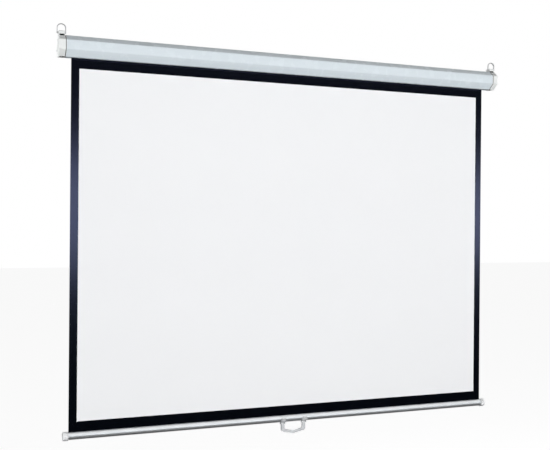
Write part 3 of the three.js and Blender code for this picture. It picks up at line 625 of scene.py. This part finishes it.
def billow(x, z):
    """How far the hanging sheet stands back from flat, nothing at its top and foot."""
    fall = math.sin(math.pi * min(1.0, max(0.0, z / COAT_LOW.z)))
    across = math.cos(math.pi * x / HALF * 1.5 + 0.6)
    slanting = math.cos(7.0 * z + 2.2 * x)
    return BILLOW * fall * (0.5 + 0.25 * across + 0.25 * slanting)


def flat(x, z):
    return 0.0


def slab(x_low, x_high, z_low, z_high, front, back, rows, wave):
    """A thin closed sheet whose front and back faces follow the same wave."""
    row = COLUMNS + 1

    def face(offset):
        points = []
        for r in range(rows + 1):
            z = z_high + (z_low - z_high) * r / rows
            for c in range(row):
                x = x_low + (x_high - x_low) * c / COLUMNS
                points.append((x, FABRIC_Y + offset + wave(x, z), z))
        return points

    vertices = face(front) + face(back)
    shift = (rows + 1) * row
    faces = []
    for r in range(rows):
        for c in range(COLUMNS):
            a = r * row + c
            b, d, e = a + 1, a + row, a + row + 1
            faces.append((a, d, e, b))
            faces.append((a + shift, b + shift, e + shift, d + shift))
    rim = list(range(COLUMNS))
    rim += [COLUMNS + r * row for r in range(rows)]
    rim += [rows * row + c for c in range(COLUMNS, 0, -1)]
    rim += [r * row for r in range(rows, 0, -1)]
    for i, a in enumerate(rim):
        b = rim[(i + 1) % len(rim)]
        faces.append((a, b, b + shift, a + shift))
    return vertices, faces


def add_fabric():
    split, top = COAT_LOW.z - SPLIT_DROP, FABRIC_HIGH.z
    foot = FABRIC_LOW.z - HEM_OVERLAP
    mesh = mesh_from("hanging_fabric", *slab(
        -HALF, HALF, split, top, -THICK / 2, THICK / 2, ROWS, billow))
    hanging = add_piece("hanging_fabric", mesh, BLACK, "casing", ["screen_fabric"], SOFT)
    mesh = mesh_from("white_coat", *slab(
        COAT_LOW.x, COAT_HIGH.x, COAT_LOW.z, COAT_HIGH.z,
        -THICK / 2 - COAT_FRONT, -THICK / 2 - COAT_BACK, ROWS, billow))
    coat = add_piece("white_coat", mesh, WHITE, "casing", ["white_surface"], SOFT)
    mesh = mesh_from("lower_border", *slab(
        -HALF, HALF, foot, split, -THICK / 2, THICK / 2, BORDER_ROWS, flat))
    border = add_piece("lower_border", mesh, BLACK, "bar")
    coat.visible_diffuse = False
    for piece in (hanging, coat):
        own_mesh(piece)


add_fabric()
dressed("fabric_hem", BLACK, "bar", 0.05 * MM, 1)
dressed("hem_rod", NYLON, "bar", 0.3 * MM)


# Bottom tube and its end knobs

BAR_LOW, BAR_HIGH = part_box("bottom_tube")
BAR_RADIUS = 13.5 * MM
BAR_Y, BAR_Z = FABRIC_Y, BAR_LOW.z + BAR_RADIUS


def add_bottom_tube():
    wall, slot, steps = 1.6 * MM, 4.0 * MM, 96
    outline = []
    for radius, way in ((BAR_RADIUS, 1), (BAR_RADIUS - wall, -1)):
        edge = math.asin(slot / 2 / radius)
        for i in range(steps + 1):
            share = i / steps if way > 0 else 1 - i / steps
            angle = edge + share * (2 * math.pi - 2 * edge)
            outline.append((BAR_Y + radius * math.sin(angle), BAR_Z + radius * math.cos(angle)))
    rings = [[(x, y, z) for y, z in outline] for x in (BAR_LOW.x, BAR_HIGH.x)]
    mesh = mesh_from("bottom_tube_wall", *skin(rings))
    add_piece("bottom_tube_wall", mesh, TUBE, "bar", ["bottom_tube"])


# The knob's profile, in millimetres: how far out from the tube's end, and how far from its axis
KNOB_PLUG = [(-12.0, 0), (-12.0, 10.8), (-11.2, 11.6), (0.3, 11.6)]
KNOB_RIM = [(0.3, 16.1), (0.7, 16.5), (3.1, 16.5), (3.3, 16.3)]
KNOB_GROOVE = [(3.3, 15.7), (4.9, 15.7), (4.9, 16.3), (5.1, 16.5)]
KNOB_ARC_START, KNOB_ARC_CENTRE, KNOB_ARC_RADIUS, KNOB_ARC_STEPS = 16.8, 13.5, 3.0, 8
KNOB_DISH = [(19.8, 9.4), (19.5, 9.0), (19.5, 0)]
KNOB_PLUG_LENGTH = 12.0 * MM


def add_knob(side, way):
    low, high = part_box(f"{side}_bar_knob")
    inner = (high.x - KNOB_PLUG_LENGTH) if way < 0 else (low.x + KNOB_PLUG_LENGTH)
    profile = KNOB_PLUG + KNOB_RIM + KNOB_GROOVE
    for s in range(KNOB_ARC_STEPS + 1):
        angle = math.pi / 2 * s / KNOB_ARC_STEPS
        profile.append((KNOB_ARC_START + KNOB_ARC_RADIUS * math.sin(angle),
                        KNOB_ARC_CENTRE + KNOB_ARC_RADIUS * math.cos(angle)))
    profile += KNOB_DISH
    placed = [(inner + way * x * MM, r * MM) for x, r in profile]
    mesh = mesh_from(f"{side}_knob_body", *turned(placed, BAR_Y, BAR_Z))
    add_piece(f"{side}_knob_body", mesh, PALE, "bar", [f"{side}_bar_knob"])


add_bottom_tube()
add_knob("left", -1)
add_knob("right", 1)


# Pull handle, its clips, hinge pins and rivets

for side in SIDES:
    dressed(f"{side}_handle_clip", GREY, "bar", 0.3 * MM)
    dressed(f"{side}_handle_pin", STEEL, "bar", 0.15 * MM)
    dressed(f"{side}_clip_rivet_1", STEEL, "bar", 0.1 * MM)
    dressed(f"{side}_clip_rivet_2", STEEL, "bar", 0.1 * MM)


def handle_outline():
    """Closed outline of the handle's band, as x and z from the middle of its hinge axis."""
    outer, inner, leg_top = 52.5 * MM, 37.5 * MM, -3.8 * MM
    foot, foot_inside = -42.7 * MM, -31.7 * MM
    right = [(outer, leg_top), (outer, -25.0 * MM), (46.0 * MM, -33.0 * MM)]
    inside = [(inner, -22.0 * MM), (inner, leg_top)]
    outline = right + [(0, foot)] + [(-x, z) for x, z in reversed(right)]
    outline += [(-x, z) for x, z in reversed(inside)] + [(0, foot_inside)] + inside
    end, bend, wide = 3 * MM, 6 * MM, 14 * MM
    radii = [end, bend, bend, wide, bend, bend, end, end, bend, wide, bend, end]
    return filleted(outline, radii, 6)


def add_handle():
    pivot = joint("handle_swing")["pos_m"]
    thick, rounding, rounded_from = 8.0 * MM, 1.6 * MM, 50
    neck, rim = 3.2 * MM, 0.4 * MM
    neck_place, neck_half, web_drop = 45 * MM, 6.4 * MM, 8 * MM
    outline = handle_outline()
    rings = [
        [(pivot[0] + x, pivot[1] + y, pivot[2] + z) for x, z in outline]
        for y in (-thick / 2, thick / 2)
    ]
    parts = [skin(rings)]
    for end in (-1, 1):
        low, high = end * neck_place - neck_half, end * neck_place + neck_half
        barrel = [(low, 0), (low, neck - rim), (low + rim, neck),
                  (high - rim, neck), (high, neck - rim), (high, 0)]
        parts.append(turned(barrel, pivot[1], pivot[2], 48))
        web = [
            (pivot[1] - neck, pivot[2] - web_drop), (pivot[1] + neck, pivot[2] - web_drop),
            (pivot[1] + neck, pivot[2]), (pivot[1] - neck, pivot[2]),
        ]
        parts.append(skin([[(x, y, z) for y, z in web] for x in (low, high)]))
    mesh = mesh_from("pull_handle_loop", *merged(*parts))
    piece = add_piece("pull_handle_loop", mesh, GREY, "handle", ["pull_handle"])
    ease(piece, "rounded_rim", rounding, 4, rounded_from)


add_handle()


# Floor, studio light and background

FLOOR_REACH, FLOOR_LEVEL = 30.0, -2.35
FLOOR_DIFFUSE, FLOOR_SHOWN = 0.5, 0.935
AMBIENT = 0.015
# What gloss sees: positions on the ceiling's ramp, over the upward part of a direction, and levels
CEILING = ((0.0, 0.015), (0.34, 0.015), (0.58, 1.0), (0.93, 1.0), (1.0, 0.8))
BACKDROP_BACK = (0.0, 0.3)    # how far back a direction points where the backdrop begins and is full
BACKDROP_UP = (-0.12, 0.02)   # and how far up


def floor_material():
    """Pale surface that still takes a shadow, lifted towards white where the camera sees it."""
    material = bpy.data.materials.new("pale_floor")
    material.use_nodes = True
    tree = material.node_tree
    tree.nodes.clear()
    path = tree.nodes.new("ShaderNodeLightPath")
    base = tree.nodes.new("ShaderNodeBsdfDiffuse")
    base.inputs["Color"].default_value = (*cube(FLOOR_DIFFUSE), 1)
    glow = tree.nodes.new("ShaderNodeEmission")
    lift = tree.nodes.new("ShaderNodeMath")
    lift.operation = "MULTIPLY"
    lift.inputs[1].default_value = FLOOR_SHOWN
    tree.links.new(path.outputs["Is Camera Ray"], lift.inputs[0])
    tree.links.new(lift.outputs[0], glow.inputs["Strength"])
    add = tree.nodes.new("ShaderNodeAddShader")
    tree.links.new(base.outputs[0], add.inputs[0])
    tree.links.new(glow.outputs[0], add.inputs[1])
    output = tree.nodes.new("ShaderNodeOutputMaterial")
    tree.links.new(add.outputs[0], output.inputs["Surface"])
    return material


def add_floor():
    mesh = bpy.data.meshes.new("floor")
    corners = [
        (x * FLOOR_REACH, y * FLOOR_REACH, FLOOR_LEVEL)
        for x, y in ((-1, -1), (1, -1), (1, 1), (-1, 1))
    ]
    mesh.from_pydata(corners, [], [(0, 1, 2, 3)])
    mesh.materials.append(floor_material())
    floor = bpy.data.objects.new("floor", mesh)
    scene.collection.objects.link(floor)
    floor.visible_diffuse = False
    floor.visible_glossy = False


def add_lamp(name, place, target, size, power, colour=(1, 1, 1), diffuse=True, glossy=True,
             spread=180):
    data = bpy.data.lights.new(name, "AREA")
    data.shape = "RECTANGLE"
    data.size, data.size_y = size
    data.energy = power
    data.color = colour
    data.spread = math.radians(spread)
    lamp = bpy.data.objects.new(name, data)
    lamp.location = place
    aim = Vector(target) - Vector(place)
    lamp.rotation_mode = "QUATERNION"
    lamp.rotation_quaternion = aim.to_track_quat("-Z", "Y")
    lamp.visible_diffuse = diffuse
    lamp.visible_glossy = glossy
    lamp.visible_camera = False
    scene.collection.objects.link(lamp)


def add_world():
    """White to the camera, dim to the surfaces; their gloss sees a ceiling and the backdrop."""
    world = bpy.data.worlds.new("studio")
    world.use_nodes = True
    tree = world.node_tree
    tree.nodes.clear()

    def node(kind, *links, **settings):
        made = tree.nodes.new(kind)
        for name, value in settings.items():
            setattr(made, name, value)
        for source, target in links:
            tree.links.new(source, made.inputs[target])
        return made

    def background(level):
        made = node("ShaderNodeBackground")
        made.inputs["Color"].default_value = (*cube(level), 1)
        return made

    def from_to(source, edges):
        made = node("ShaderNodeMapRange", (source, 0))
        made.inputs["From Min"].default_value, made.inputs["From Max"].default_value = edges
        return made

    path = node("ShaderNodeLightPath")
    seen = node("ShaderNodeMath", (path.outputs["Is Camera Ray"], 0),
                (path.outputs["Is Transmission Ray"], 1), operation="MAXIMUM")
    place = node("ShaderNodeTexCoord")
    direction = node("ShaderNodeSeparateXYZ", (place.outputs["Generated"], 0))
    ceiling = node("ShaderNodeValToRGB", (direction.outputs["Z"], 0))
    stops = ceiling.color_ramp.elements
    while len(stops) < len(CEILING):
        stops.new(0.5)
    for stop, (position, level) in zip(stops, CEILING):
        stop.position = position
        stop.color = (*cube(level), 1)
    ahead = node("ShaderNodeBackground", (ceiling.outputs["Color"], "Color"))
    dim, white = background(AMBIENT), background(1)
    behind = from_to(direction.outputs["Y"], BACKDROP_BACK)
    above = from_to(direction.outputs["Z"], BACKDROP_UP)
    backdrop = node("ShaderNodeMath", (behind.outputs[0], 0), (above.outputs[0], 1),
                    operation="MULTIPLY")
    gloss = node("ShaderNodeMixShader", (backdrop.outputs[0], 0), (ahead.outputs[0], 1),
                 (white.outputs[0], 2))
    lit = node("ShaderNodeMixShader", (path.outputs["Is Glossy Ray"], 0),
               (dim.outputs[0], 1), (gloss.outputs[0], 2))
    whole = node("ShaderNodeMixShader", (seen.outputs[0], 0), (lit.outputs[0], 1),
                 (white.outputs[0], 2))
    node("ShaderNodeOutputWorld", (whole.outputs[0], "Surface"))
    scene.world = world


def add_lamps():
    """Three long lamps light the front, one shows only in gloss, and ends and back have their own."""
    long, end = (8.0, 0.3), (0.6, 1.6)
    add_lamp("front_light_far", (0, -4.0, -0.1), (0, 0, -0.1), long, 108, glossy=False)
    add_lamp("front_light_low", (0, -2.0, -1.3), (0, 0, -1.3), long, 56, glossy=False)
    add_lamp("front_light_near", (0, -0.8, -0.07), (0, 0, -0.07), long, 8.4, glossy=False)
    add_lamp("front_strip", (2.55, -6.0, -0.50), (2.55, 0, -0.50), (7.0, 1.1), 110,
             (0.9, 0.95, 1), diffuse=False)
    for side, way in zip(SIDES, (-1, 1)):
        add_lamp(f"{side}_light", (way * 4.0, 0.36, -0.5), (0, 0.36, -0.5), end, 8.4,
                 glossy=False, spread=46)
    add_lamp("back_light", (0, 4.0, 0.2), (0, 0, -0.5), (4.0, 1.6), 34, glossy=False, spread=60)


add_floor()
add_world()
add_lamps()
